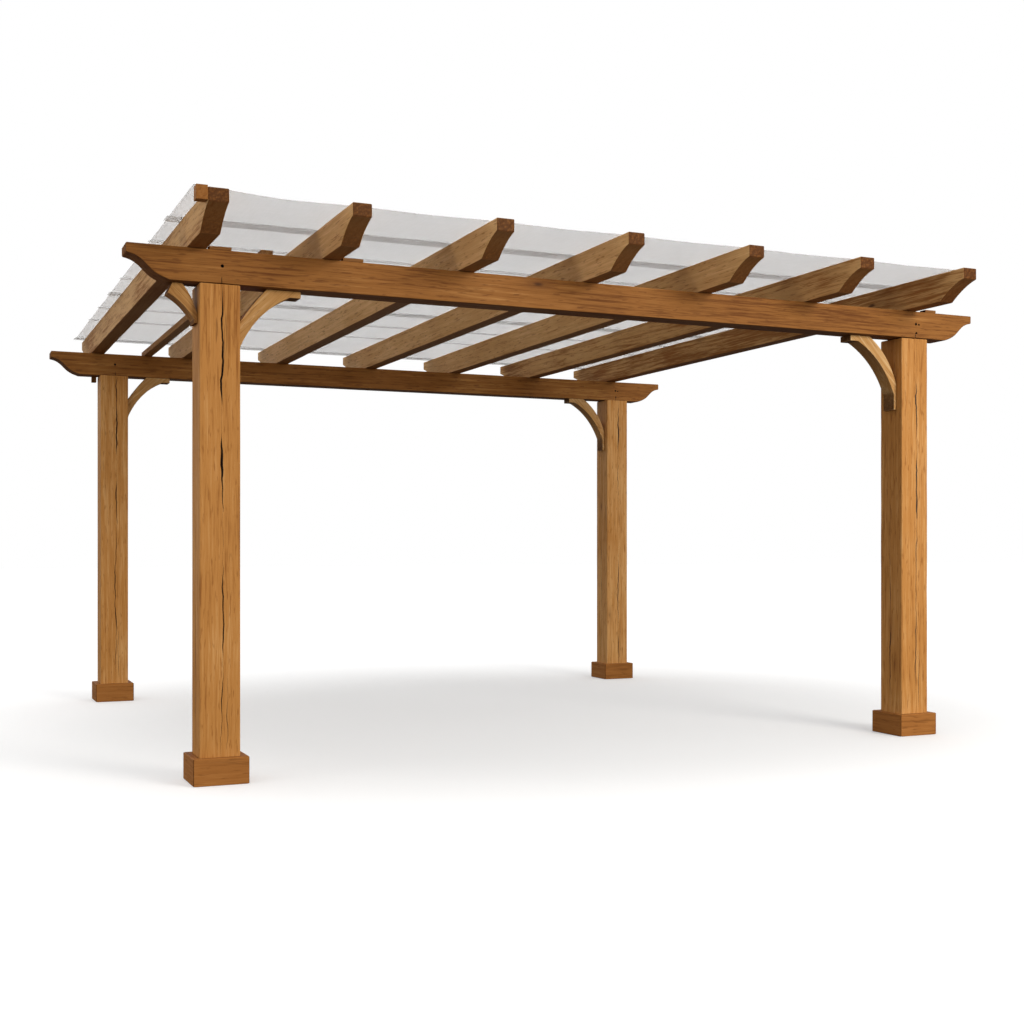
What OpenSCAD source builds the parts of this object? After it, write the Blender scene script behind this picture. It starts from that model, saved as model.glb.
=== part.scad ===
// Timber pergola: four posts on boarded plinths carry two beams with moulded ends.
// Seven rafters with cut tails lie across the beams and hold up a stretched canopy.
// Millimetres, +Z up, origin on the ground at the middle of the four posts.
// +X runs along the beams and +Y along the rafters, towards the rear.

/* [Posts] */
// Side of the square posts
post_side = 190; // [140:5:240]
// Distance between post centres along the beams
post_spacing_x = 4055; // [3600:5:4600]
// Distance between post centres along the rafters
post_spacing_y = 3660; // [3000:5:4200]
// Clear height from the ground to the underside of the beams
post_height = 2322; // [2000:1:2800]

/* [Plinths] */
// Thickness of the boards round each post foot
plinth_board = 35; // [15:1:60]
// Height of the boards round each post foot
plinth_height = 128; // [80:1:250]
// Open joint at the mitred corners of the boards
mitre_gap = 0.6; // [0.3:0.1:2]

/* [Beams] */
// Height of a beam
beam_depth = 157; // [120:1:220]
// Thickness of a beam, flush with the outer faces of its posts
beam_thickness = 140; // [90:1:180]
// Length of beam beyond the outer face of a post
beam_overhang = 330; // [300:5:450]
// Upright part of the beam's moulded end
beam_nose = 45; // [25:1:70]
// Length of the moulded cut under the beam's end
beam_ogee = 195; // [120:5:200]
// Depth of the hollow and of the swell in that cut
ogee_wave = 13; // [0:1:20]

/* [Rafters] */
// Width of a rafter
rafter_width = 92; // [60:1:120]
// Height of a rafter
rafter_depth = 160; // [120:1:200]
// How far the first rafter's centre stands outside the left posts' centres
first_rafter_out = 105; // [60:5:140]
// How far the last rafter's centre stands inside the right posts' centres
last_rafter_in = 28; // [10:2:100]
// Distance between the centres of the first two rafters
first_bay = 640; // [560:2:700]
// Distance between the centres of the last two rafters; the other bays are even
last_bay = 700; // [600:2:760]
// Length of rafter beyond the outer face of a beam
rafter_overhang = 485; // [350:5:600]
// Upright end of a rafter's tail
tail_nose = 62; // [40:1:90]
// Length of the sloping cut under a rafter's tail
tail_cut = 190; // [120:5:300]
// Depth of the hollow in that sloping cut
tail_hollow = 14; // [0:1:25]

/* [Knee braces] */
// Thickness of a knee brace
brace_thickness = 96; // [60:1:130]
// Depth of a knee brace's square upper end
brace_stub = 34; // [25:1:60]
// Length of a knee brace's square upper end
brace_stub_length = 55; // [30:1:90]
// Roundness of the hollow edge, from a straight cut to a full curve
brace_roundness = 0.38; // [0.2:0.02:0.6]
// Reach of the left-hand braces along the beam
left_brace_reach = 300; // [260:5:400]
// Drop of the left-hand braces down the post
left_brace_drop = 295; // [260:5:450]
// Length of the left-hand braces' seat under the beam
left_brace_seat = 165; // [120:5:200]
// Length of the left-hand braces' seat on the post
left_brace_land = 120; // [80:5:160]
// Depth of the left-hand braces at their lower end
left_brace_toe = 8; // [6:1:50]
// Height of that lower end
left_brace_heel = 10; // [5:1:60]
// Bow of the left-hand braces' back, from nearly straight to round
left_brace_bow = 0.1; // [0.05:0.05:0.5]
// Reach of the right-hand braces along the beam
right_brace_reach = 330; // [260:5:420]
// Drop of the right-hand braces down the post
right_brace_drop = 420; // [330:5:440]
// Length of the right-hand braces' seat under the beam
right_brace_seat = 135; // [100:5:180]
// Length of the right-hand braces' seat on the post
right_brace_land = 155; // [100:5:200]
// Depth of the right-hand braces at their lower end
right_brace_toe = 18; // [10:1:60]
// Height of that lower end
right_brace_heel = 90; // [30:5:120]
// Bow of the right-hand braces' back, from nearly straight to round
right_brace_bow = 0.35; // [0.05:0.05:0.5]

/* [Side bracket] */
// Reach of the small bracket under the front beam's left end
bracket_reach = 138; // [120:2:160]
// Length of its seat under the beam
bracket_seat = 44; // [30:1:60]
// How far its outer end leans out below the beam
bracket_lean = 22; // [0:1:40]
// Height of that leaning end
bracket_nose = 50; // [30:1:70]
// Drop of the bracket down the post
bracket_drop = 185; // [150:5:240]
// Length of its seat on the post
bracket_land = 43; // [25:1:60]
// Depth of the bracket at its lower end
bracket_toe = 18; // [10:1:30]
// Height of that lower end
bracket_heel = 20; // [5:1:40]
// Roundness of its hollow edge and of its back
bracket_roundness = 0.28; // [0.1:0.02:0.5]

/* [Canopy] */
// Thickness of the canopy's cloth
cloth_thickness = 3; // [2:0.5:5]
// Length of cloth beyond the outer rafters
cloth_side_overhang = 58; // [20:2:100]
// Distance from the rafter tips to the cloth's front and rear edges
cloth_end_setback = 105; // [60:5:200]
// How far the front left corner is pulled towards its block
corner_pull = 88; // [0:2:100]
// Length of front edge over which the corner is pulled out
corner_pull_run = 480; // [200:10:600]
// Width of the wide battens under the cloth
wide_batten = 110; // [70:2:140]
// Width of the narrow battens under the cloth
narrow_batten = 45; // [30:1:60]
// Thickness of the battens under the cloth
batten_thickness = 6; // [4:1:12]
// Distance between batten centres
batten_spacing = 516; // [400:2:540]
// Distance from the cloth's front edge to the first batten's centre
first_batten = 555; // [400:5:600]
// Length of a batten beyond the cloth's left edge
batten_end = 12; // [4:1:30]

/* [Small timbers] */
// Width of the slender rail between the first two rafters
rail_width = 58; // [25:1:80]
// Height of that rail
rail_height = 40; // [25:1:60]
// Sideways place of that rail, from the first rafter's right face
rail_place = 274; // [150:2:360]
// Length of rail that bears on the front beam
rail_bearing = 40; // [25:5:90]
// Length of the first two cleats on the front beam
cleat_length = 104; // [60:2:140]
// Gap between each of them and the rafter at its left
cleat_gap = 10; // [4:1:30]
// Length of the last cleat
last_cleat_length = 78; // [50:2:120]
// Gap between the last cleat and the last rafter
last_cleat_gap = 66; // [40:2:120]
// Height of the cleats
cleat_height = 16; // [8:1:30]
// Depth of the cleats from front to back
cleat_depth = 50; // [20:2:80]
// Set-back of the cleats from the face of the beam
cleat_setback = 6; // [2:1:20]
// Width of the block at the canopy's front left corner
corner_block_width = 51; // [30:1:80]
// Length of that block
corner_block_length = 55; // [30:1:90]
// Height of that block below the rafter's top
corner_block_drop = 58; // [30:1:100]
// Width of the peg under the rear beam
peg_width = 31; // [20:1:50]
// Length of that peg from front to back
peg_length = 46; // [20:1:80]
// Drop of that peg below the beam
peg_drop = 40; // [20:1:70]
// Gap between that peg and the rear left post
peg_gap = 12; // [6:1:40]

/* [Hidden] */
timber = [0.66, 0.44, 0.22];
timber_dark = [0.55, 0.35, 0.17];
cloth_grey = [0.82, 0.83, 0.84];
batten_grey = [0.66, 0.67, 0.68];

rafter_count = 7;
batten_count = 8;
// A wide batten comes first in every group of this many
batten_group = 4;
curve_steps = 12;
// Share by which the beam's moulding grows shallower towards its inner end
ogee_fade = 0.5;

// Which rafter each cleat stands beside, its gap from it and its own length
cleats = [[1, cleat_gap, cleat_length], [2, cleat_gap, cleat_length],
          [rafter_count, last_cleat_gap, last_cleat_length]];

post_x = post_spacing_x / 2;
post_y = post_spacing_y / 2;
outer_y = post_y + post_side / 2;
inner_x = post_x - post_side / 2;
beam_half = post_x + post_side / 2 + beam_overhang;
beam_top = post_height + beam_depth;
tip_y = outer_y + rafter_overhang;
rafter_top = beam_top + rafter_depth;
batten_top = rafter_top + batten_thickness;

cloth_left = rafter_x(1) - rafter_width / 2 - cloth_side_overhang;
cloth_right = rafter_x(rafter_count) + rafter_width / 2 + cloth_side_overhang;
cloth_end = tip_y - cloth_end_setback;
first_rafter_right = rafter_x(1) + rafter_width / 2;

// Centre of a rafter, counted from the left; all but the outer two are evenly spaced
function rafter_x(i) =
    let (first = -post_x - first_rafter_out, last = post_x - last_rafter_in)
    i == 1 ? first
    : i == rafter_count ? last
    : mix(first + first_bay, last - last_bay, (i - 2) / (rafter_count - 3));

// Centre of a batten, counted from the front; the last one lies in the rear hem
function batten_y(i) =
    i < batten_count ? first_batten - cloth_end + (i - 1) * batten_spacing
                     : cloth_end - wide_batten / 2;

function batten_width(i) =
    i % batten_group == 1 || i == batten_count ? wide_batten : narrow_batten;

function mix(a, b, t) = a + (b - a) * t;

// Moulded cut of a beam's end, as distances in from the end and up from the underside.
// A hollow and then a swell lie across its straight slope.
function ogee_points() =
    let (rise = beam_depth - beam_nose,
         across = [rise, beam_ogee] / norm([rise, beam_ogee]))
    [for (k = [0 : curve_steps])
        let (t = k / curve_steps)
        mix([0, rise], [beam_ogee, 0], t) + across * ogee_wave * sin(360 * t) * (1 - ogee_fade * t)];

// Sloping cut of a rafter's tail, as distances in from the tip and up from the underside
function tail_points() =
    let (rise = rafter_depth - tail_nose)
    [for (k = [0 : curve_steps])
        let (t = k / curve_steps)
        [tail_cut * t, rise * (1 - t) + 4 * tail_hollow * t * (1 - t)]];

function reversed(list) = [for (k = [len(list) - 1 : -1 : 0]) list[k]];

// Extrudes an outline drawn in Y and Z along +X
module along_x(width) {
    rotate([90, 0, 90]) linear_extrude(width) children();
}

// Extrudes an outline drawn in X and Z along -Y
module along_y(width) {
    rotate([90, 0, 0]) linear_extrude(width) children();
}

module post(sx, sy) {
    color(timber)
        translate([sx * post_x - post_side / 2, sy * post_y - post_side / 2, 0])
            cube([post_side, post_side, post_height]);
}

// Four boards round a post foot, mitred at the corners with a fine open joint
module plinth(sx, sy) {
    inner = post_side / 2;
    outer = inner + plinth_board;
    slack = mitre_gap / 2;
    color(timber_dark)
        translate([sx * post_x, sy * post_y, 0])
            for (turn = [0 : 90 : 270])
                rotate([0, 0, turn])
                    linear_extrude(plinth_height)
                        polygon([[-outer + slack, -outer], [outer - slack, -outer],
                                 [inner - slack, -inner], [-inner + slack, -inner]]);
}

module beam(rear_face) {
    cut = ogee_points();
    color(timber)
        translate([0, rear_face, post_height])
            along_y(beam_thickness)
                polygon(concat(
                    [[-beam_half, beam_depth], [beam_half, beam_depth]],
                    [for (p = cut) [beam_half - p[0], p[1]]],
                    [for (p = reversed(cut)) [p[0] - beam_half, p[1]]]));
}

module rafter(i) {
    cut = tail_points();
    color(timber)
        translate([rafter_x(i) - rafter_width / 2, 0, beam_top])
            along_x(rafter_width)
                polygon(concat(
                    [[-tip_y, rafter_depth], [tip_y, rafter_depth]],
                    [for (p = cut) [tip_y - p[0], p[1]]],
                    [for (p = reversed(cut)) [p[0] - tip_y, p[1]]]));
}

// Curve that bows from the straight line between two points towards a corner
function bowed(from, to, corner, roundness) =
    let (pull = mix((from + to) / 2, corner, roundness))
    [for (k = [0 : curve_steps])
        let (t = k / curve_steps)
        mix(mix(from, pull, t), mix(pull, to, t), t)];

// Knee brace from a post towards the beam's middle.
// In its own plane x runs away from the post and y up from the beam's underside.
module knee_brace(sx, sy, reach, drop, seat, land, toe, heel, bow) {
    color(timber)
        translate([sx * inner_x, sy * post_y + brace_thickness / 2, post_height])
            mirror([sx > 0 ? 1 : 0, 0, 0])
                along_y(brace_thickness)
                    polygon(concat(
                        [[reach, 0], [reach, -brace_stub]],
                        bowed([reach - brace_stub_length, -brace_stub], [toe, heel - drop],
                              [toe, -brace_stub], brace_roundness),
                        [[toe, -drop], [0, -drop]],
                        bowed([0, land - drop], [reach - seat, 0], [0, 0], bow)));
}

module left_knee_brace(sy) {
    knee_brace(-1, sy, left_brace_reach, left_brace_drop, left_brace_seat, left_brace_land,
               left_brace_toe, left_brace_heel, left_brace_bow);
}

module right_knee_brace(sy) {
    knee_brace(1, sy, right_brace_reach, right_brace_drop, right_brace_seat, right_brace_land,
               right_brace_toe, right_brace_heel, right_brace_bow);
}

// Small curved bracket between the front left post's outer face and the beam's overhang,
// drawn in the same plane as a knee brace
module side_brace() {
    seat_end = bracket_reach - bracket_lean;
    color(timber)
        translate([-post_x - post_side / 2, brace_thickness / 2 - post_y, post_height])
            mirror([1, 0, 0])
                along_y(brace_thickness)
                    polygon(concat(
                        [[seat_end, 0]],
                        bowed([bracket_reach, -bracket_nose], [bracket_toe, bracket_heel - bracket_drop],
                              [bracket_toe, -bracket_nose], bracket_roundness),
                        [[bracket_toe, -bracket_drop], [0, -bracket_drop]],
                        bowed([0, bracket_land - bracket_drop], [seat_end - bracket_seat, 0], [0, 0],
                              bracket_roundness)));
}

// Slender rail laid on both beams between the first two rafters
module side_rail() {
    front = outer_y - beam_thickness + rail_bearing;
    color(timber_dark)
        translate([first_rafter_right + rail_place, -front, beam_top])
            cube([rail_width, front + outer_y, rail_height]);
}

module rafter_cleats() {
    color(timber_dark)
        for (c = cleats)
            translate([rafter_x(c[0]) + rafter_width / 2 + c[1], cleat_setback - outer_y, beam_top])
                cube([c[2], cleat_depth, cleat_height]);
}

module canopy_corner_block() {
    color(timber_dark)
        translate([rafter_x(1) - rafter_width / 2 - corner_block_width, -tip_y,
                   rafter_top - corner_block_drop])
            cube([corner_block_width, corner_block_length, corner_block_drop + batten_thickness]);
}

module rear_peg() {
    color(timber_dark)
        translate([-post_x - post_side / 2 - peg_gap - peg_width, outer_y - peg_length,
                   post_height - peg_drop])
            cube([peg_width, peg_length, peg_drop]);
}

module canopy_sheet() {
    color(cloth_grey)
        translate([0, 0, batten_top])
            linear_extrude(cloth_thickness)
                polygon([[cloth_left, -cloth_end - corner_pull],
                         [cloth_left + corner_pull_run, -cloth_end],
                         [cloth_right, -cloth_end], [cloth_right, cloth_end],
                         [cloth_left, cloth_end]]);
}

module canopy_batten(i) {
    color(batten_grey)
        translate([cloth_left - batten_end, batten_y(i) - batten_width(i) / 2, rafter_top])
            cube([cloth_right - cloth_left + batten_end, batten_width(i), batten_thickness]);
}

post(-1, -1);  // post_front_left
post(1, -1);  // post_front_right
post(-1, 1);  // post_rear_left
post(1, 1);  // post_rear_right
plinth(-1, -1);  // plinth_front_left
plinth(1, -1);  // plinth_front_right
plinth(-1, 1);  // plinth_rear_left
plinth(1, 1);  // plinth_rear_right
beam(beam_thickness - outer_y);  // beam_front
beam(outer_y);  // beam_rear
rafter(1);  // rafter_1
rafter(2);  // rafter_2
rafter(3);  // rafter_3
rafter(4);  // rafter_4
rafter(5);  // rafter_5
rafter(6);  // rafter_6
rafter(7);  // rafter_7
left_knee_brace(-1);  // brace_front_left
right_knee_brace(-1);  // brace_front_right
left_knee_brace(1);  // brace_rear_left
right_knee_brace(1);  // brace_rear_right
side_brace();
side_rail();
rafter_cleats();
canopy_corner_block();
rear_peg();
canopy_sheet();
canopy_batten(1);  // canopy_batten_1
canopy_batten(2);  // canopy_batten_2
canopy_batten(3);  // canopy_batten_3
canopy_batten(4);  // canopy_batten_4
canopy_batten(5);  // canopy_batten_5
canopy_batten(6);  // canopy_batten_6
canopy_batten(7);  // canopy_batten_7
canopy_batten(8);  // canopy_batten_8
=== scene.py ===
"""Looks of a free-standing timber pergola with a stretched canopy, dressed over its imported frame.

Every piece is in metres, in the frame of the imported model: X along the beams, Y along the rafters, Z up.
"""

import logging
import math
from dataclasses import dataclass, replace
from enum import Enum
from itertools import count
from typing import Callable, Iterator, Sequence, Union

import bmesh
import bpy
from mathutils import Euler, Matrix, Vector, noise


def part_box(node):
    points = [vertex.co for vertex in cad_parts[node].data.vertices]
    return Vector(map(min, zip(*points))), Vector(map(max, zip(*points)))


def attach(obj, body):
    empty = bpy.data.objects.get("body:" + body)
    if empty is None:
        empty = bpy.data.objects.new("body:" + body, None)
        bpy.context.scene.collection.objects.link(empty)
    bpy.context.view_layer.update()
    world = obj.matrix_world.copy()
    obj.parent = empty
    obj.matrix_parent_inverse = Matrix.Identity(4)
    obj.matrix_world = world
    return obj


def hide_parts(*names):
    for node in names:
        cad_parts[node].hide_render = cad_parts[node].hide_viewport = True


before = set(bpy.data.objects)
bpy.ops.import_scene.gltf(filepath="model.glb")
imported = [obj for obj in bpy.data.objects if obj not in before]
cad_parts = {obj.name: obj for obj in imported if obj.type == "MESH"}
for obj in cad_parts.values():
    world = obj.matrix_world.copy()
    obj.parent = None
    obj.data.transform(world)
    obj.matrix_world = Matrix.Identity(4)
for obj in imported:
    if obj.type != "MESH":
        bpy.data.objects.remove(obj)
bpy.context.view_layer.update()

log = logging.getLogger("pergola")

Colour = tuple[float, float, float]
Feed = Union[float, Sequence[float], bpy.types.NodeSocket]

GOLDEN = 0.6180339887
WHITE = (1.0, 1.0, 1.0, 1.0)
MERGE = 1e-5  # points closer than this are one
HAIR = 1e-6  # points this near to a cutting plane lie on it
CUBIC_CM = 1e-6
FLAT = math.radians(0.5)  # faces that turn less than this are one
SHARP = math.radians(24.0)  # edges that turn more than this are eased
CORNERS = ("front_left", "front_right", "rear_left", "rear_right")


class Grain(Enum):
    """Which way a timber's grain runs, as the turn in degrees that lays it along Z."""

    ALONG_X = (0.0, -90.0, 0.0)
    ALONG_Y = (90.0, 0.0, 0.0)
    ALONG_Z = (0.0, 0.0, 0.0)
    RISING_RIGHT = (0.0, -45.0, 0.0)
    RISING_LEFT = (0.0, 45.0, 0.0)

    @property
    def turn(self) -> tuple[float, float, float]:
        """The turn in radians, for a Mapping node."""
        return tuple(math.radians(a) for a in self.value)

    @property
    def along(self) -> Vector:
        """The direction of the grain in the frame."""
        return Euler(self.turn).to_matrix().inverted() @ Vector((0, 0, 1))


class Side(Enum):
    """A face of a squared timber, as its outward direction and the direction across it."""

    FRONT = ((0, -1, 0), (1, 0, 0))
    REAR = ((0, 1, 0), (-1, 0, 0))
    LEFT = ((-1, 0, 0), (0, -1, 0))
    RIGHT = ((1, 0, 0), (0, 1, 0))

    @property
    def out(self) -> Vector:
        """The outward direction."""
        return Vector(self.value[0])

    @property
    def across(self) -> Vector:
        """The level direction along the face."""
        return Vector(self.value[1])


class Graph:
    """Adds and links the nodes of one shader tree."""

    def __init__(self, tree: bpy.types.NodeTree) -> None:
        """Keep the tree that nodes are added to."""
        self.tree = tree

    def feed(self, socket: bpy.types.NodeSocket, value: Feed) -> None:
        """Link a socket to another one, or set its number or colour."""
        if isinstance(value, bpy.types.NodeSocket):
            self.tree.links.new(value, socket)
        elif socket.type == "RGBA" and len(value) == 3:
            socket.default_value = (*value, 1.0)
        else:
            socket.default_value = value

    def add(self, kind: str, inputs: dict | None = None, **settings: object) -> bpy.types.Node:
        """Add one node.

        Args:
            kind: The node's type, without its ShaderNode prefix.
            inputs: Values or sockets for its inputs, by name or number.
            **settings: Properties of the node.

        Returns:
            The new node.
        """
        node = self.tree.nodes.new("ShaderNode" + kind)
        for key, value in settings.items():
            setattr(node, key, value)
        for key, value in (inputs or {}).items():
            self.feed(node.inputs[key], value)
        return node

    def math(self, operation: str, *terms: Feed) -> bpy.types.NodeSocket:
        """Add a Math node on the given terms and return its result."""
        return self.add("Math", dict(enumerate(terms)), operation=operation).outputs[0]

    def mix(self, share: Feed, first: Feed, second: Feed) -> bpy.types.NodeSocket:
        """Mix two colours.

        Args:
            share: How much of the second colour shows.
            first: The colour at a share of 0.
            second: The colour at a share of 1.

        Returns:
            The mixed colour.
        """
        return self.add("Mix", {0: share, 6: first, 7: second}, data_type="RGBA").outputs[2]

    def ramp(self, value: Feed, low: float, high: float) -> bpy.types.NodeSocket:
        """Bring a value from its low and high marks smoothly to 0 and 1."""
        inputs = {"Value": value, "From Min": low, "From Max": high}
        return self.add("MapRange", inputs, interpolation_type="SMOOTHSTEP").outputs[0]

    def stretch(self, vector: Feed, scale: Sequence[float]) -> bpy.types.NodeSocket:
        """Scale coordinates along each axis."""
        return self.add("VectorMath", {0: vector, 1: scale}, operation="MULTIPLY").outputs[0]

    def cloud(self, vector: Feed, scale: Sequence[float], detail: float) -> bpy.types.NodeSocket:
        """Noise on coordinates that are scaled along each axis, about 0.5."""
        inputs = {"Vector": self.stretch(vector, scale), "Scale": 1.0, "Detail": detail}
        return self.add("TexNoise", inputs).outputs["Fac"]

    def times(self, value: Feed, amount: Feed) -> bpy.types.NodeSocket:
        """A value times an amount."""
        return self.math("MULTIPLY", value, amount)

    def plus(self, first: Feed, *others: Feed) -> Feed:
        """Values added up in order."""
        for other in others:
            first = self.math("ADD", first, other)
        return first

    def rest(self, value: Feed) -> bpy.types.NodeSocket:
        """What a share leaves of the whole."""
        return self.math("SUBTRACT", 1.0, value)

    def swing(self, value: Feed, amount: float) -> bpy.types.NodeSocket:
        """A noise value taken about zero and scaled."""
        return self.times(self.math("SUBTRACT", value, 0.5), amount)

    def coat(self, shader: bpy.types.Node, colour: Feed, rough: Feed, height: Feed,
             strength: float, distance: float) -> None:
        """Lead what changes over a surface into its shader.

        Args:
            shader: The material's Principled BSDF.
            colour: Its base colour.
            rough: Its roughness.
            height: Its relief, from 0 to 1, which goes through a Bump node.
            strength: How strongly the relief shows.
            distance: The relief's depth in metres.
        """
        bump = self.add("Bump", {"Height": height, "Strength": strength, "Distance": distance})
        self.feed(shader.inputs["Base Color"], colour)
        self.feed(shader.inputs["Roughness"], rough)
        self.feed(shader.inputs["Normal"], bump.outputs[0])


def surface(title: str, paint: Callable[[Graph, bpy.types.Node], None]) -> bpy.types.Material:
    """A material by its name, painted the first time it is asked for.

    Args:
        title: The material's name.
        paint: Adds its nodes, given its graph and its Principled BSDF.

    Returns:
        The material.
    """
    found = bpy.data.materials.get(title)
    if found:
        return found
    made = bpy.data.materials.new(title)
    made.use_nodes = True
    paint(Graph(made.node_tree), made.node_tree.nodes["Principled BSDF"])
    return made


class ShaderGroup:
    """A shared shader effect with named inputs and outputs, built once."""

    title: str = ""
    takes: tuple[tuple[str, str], ...] = ()
    gives: tuple[tuple[str, str], ...] = ()

    def tree(self) -> bpy.types.NodeTree:
        """Return the effect's node tree, and build it the first time."""
        found = bpy.data.node_groups.get(self.title)
        if found:
            return found
        made = bpy.data.node_groups.new(self.title, "ShaderNodeTree")
        for name, kind in self.takes:
            made.interface.new_socket(name, in_out="INPUT", socket_type="NodeSocket" + kind)
        for name, kind in self.gives:
            made.interface.new_socket(name, in_out="OUTPUT", socket_type="NodeSocket" + kind)
        start, end = made.nodes.new("NodeGroupInput"), made.nodes.new("NodeGroupOutput")
        graph = Graph(made)
        for name, value in self.paint(graph, start.outputs).items():
            graph.feed(end.inputs[name], value)
        return made

    def paint(self, graph: Graph, given: bpy.types.bpy_prop_collection) -> dict[str, Feed]:
        """Build the effect's nodes.

        Args:
            graph: The graph that the nodes go into.
            given: The group's inputs, by name.

        Returns:
            A value for each of the group's outputs, by name.
        """
        raise NotImplementedError

    def place(self, graph: Graph, **inputs: Feed) -> bpy.types.NodeOutputs:
        """Put the effect into a material.

        Args:
            graph: The material's graph.
            **inputs: Values for the group's inputs.

        Returns:
            The group's outputs.
        """
        node = graph.add("Group", node_tree=self.tree())
        for name, value in inputs.items():
            graph.feed(node.inputs[name], value)
        return node.outputs


class TimberGrain(ShaderGroup):
    """Growth bands, fibre, knots, fine drying lines and end grain of stained softwood, along Z, with painted
    shade on the undersides and a painted highlight along the arrises.

    Each mark's scale is in marks per metre, twice across the grain and once along it.
    """

    drift_scale = (2.6, 2.6, 0.42)
    streak_scale = (62.0, 62.0, 1.9)
    fibre_scale = (240.0, 240.0, 8.0)
    blotch_scale = (4.6, 4.6, 1.9)
    fleck_scale = (95.0, 95.0, 13.0)
    knot_scale = (5.2, 5.2, 1.7)
    vein_scale = (17.0, 17.0, 0.6)
    patch_scale = (6.0, 6.0, 1.1)
    torn_scale = (90.0, 90.0, 90.0)
    bands_per_metre = 48.0
    tone_shift = (3.1, 1.7, 5.3)
    heart_stain = (0.05, 0.018, 0.006)
    line_stain = (0.07, 0.026, 0.008)
    shade_tint = (0.62, 0.54, 0.46)
    cut_tint = (0.24, 0.17, 0.13)

    title = "timber grain"
    takes = (("Place", "Vector"), ("Facing", "Vector"), ("Pale", "Color"), ("Mid", "Color"),
             ("Dark", "Color"), ("Knots", "Float"), ("Lines", "Float"), ("Under", "Float"), ("Ends", "Float"))
    gives = (("Color", "Color"), ("Height", "Float"), ("Roughness", "Float"))

    def paint(self, graph: Graph, given: bpy.types.bpy_prop_collection) -> dict[str, Feed]:
        """Build the grain; see the base class for the arguments and the result."""
        tone = graph.add("Attribute", attribute_name="tone").outputs["Fac"]
        arris = graph.add("Attribute", attribute_name="arris").outputs["Fac"]
        shift = graph.stretch(tone, self.tone_shift)
        place = graph.add("VectorMath", {0: given["Place"], 1: shift}, operation="ADD").outputs[0]
        axes = graph.add("SeparateXYZ", {0: place}).outputs

        drift = graph.cloud(place, self.drift_scale, 2.0)
        depth = graph.plus(axes[0], graph.times(axes[1], 0.83), graph.swing(drift, 0.32))
        band = graph.math("PINGPONG", graph.times(depth, self.bands_per_metre), 1.0)
        late = graph.ramp(band, 0.45, 1.0)
        streak = graph.cloud(place, self.streak_scale, 5.0)
        fibre = graph.cloud(place, self.fibre_scale, 3.0)
        blotch = graph.cloud(place, self.blotch_scale, 4.0)

        tint = graph.plus(0.52, graph.swing(streak, 0.7), graph.swing(fibre, 0.7), graph.swing(blotch, 0.75),
                          graph.times(late, -0.10), graph.times(tone, 0.16))
        colour = graph.mix(graph.ramp(tint, 0.12, 0.5), given["Dark"], given["Mid"])
        colour = graph.mix(graph.ramp(tint, 0.5, 0.92), colour, given["Pale"])
        fleck = graph.ramp(graph.cloud(place, self.fleck_scale, 2.0), 0.58, 0.70)
        colour = graph.mix(graph.times(fleck, 0.6), colour, given["Dark"])

        cell = graph.add("TexVoronoi", {"Vector": graph.stretch(place, self.knot_scale), "Scale": 1.0})
        chance = graph.add("SeparateColor", {0: cell.outputs["Color"]}).outputs[0]
        kept = graph.times(graph.math("GREATER_THAN", chance, 0.55), given["Knots"])
        ragged = graph.plus(cell.outputs["Distance"], graph.swing(streak, 0.10))
        heart = graph.times(graph.rest(graph.ramp(ragged, 0.02, 0.075)), kept)
        ring = graph.times(graph.rest(graph.ramp(ragged, 0.04, 0.22)), kept)
        colour = graph.mix(graph.times(ring, 0.55), colour, given["Dark"])
        colour = graph.mix(graph.times(heart, 0.8), colour, self.heart_stain)

        vein = graph.cloud(place, self.vein_scale, 3.5)
        near = graph.math("ABSOLUTE", graph.math("SUBTRACT", vein, 0.5))
        patch = graph.ramp(graph.cloud(place, self.patch_scale, 2.0), 0.55, 0.66)
        line = graph.times(graph.rest(graph.ramp(near, 0.001, 0.008)), patch)
        line = graph.times(line, given["Lines"])
        colour = graph.mix(graph.times(line, 0.65), colour, self.line_stain)

        # Painted highlight: the eased arrises are lightened towards the pale colour.
        colour = graph.mix(graph.times(arris, 0.2), colour, given["Pale"])
        faced = graph.math("ABSOLUTE", graph.add("SeparateXYZ", {0: given["Facing"]}).outputs[2])
        end = graph.ramp(faced, 0.28, 0.8)
        # Painted shade: the colour that the undersides are darkened towards; the end-grain colour also starts
        # from it.
        shade = graph.stretch(given["Dark"], self.shade_tint)
        colour = graph.mix(given["Under"], colour, shade)
        torn = graph.plus(graph.cloud(place, self.torn_scale, 3.0), graph.times(late, 0.12))
        cut = graph.mix(graph.ramp(torn, 0.25, 0.6), shade, graph.stretch(given["Dark"], self.cut_tint))
        colour = graph.mix(graph.times(end, given["Ends"]), colour, cut)

        height = graph.plus(graph.times(fibre, 0.55), graph.times(streak, 0.35), graph.times(late, -0.16),
                            graph.times(line, -1.1), graph.times(heart, -0.4))
        rough = graph.plus(0.74, graph.times(tint, -0.22), graph.times(end, 0.15))
        return {"Color": colour, "Height": height, "Roughness": rough}


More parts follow.
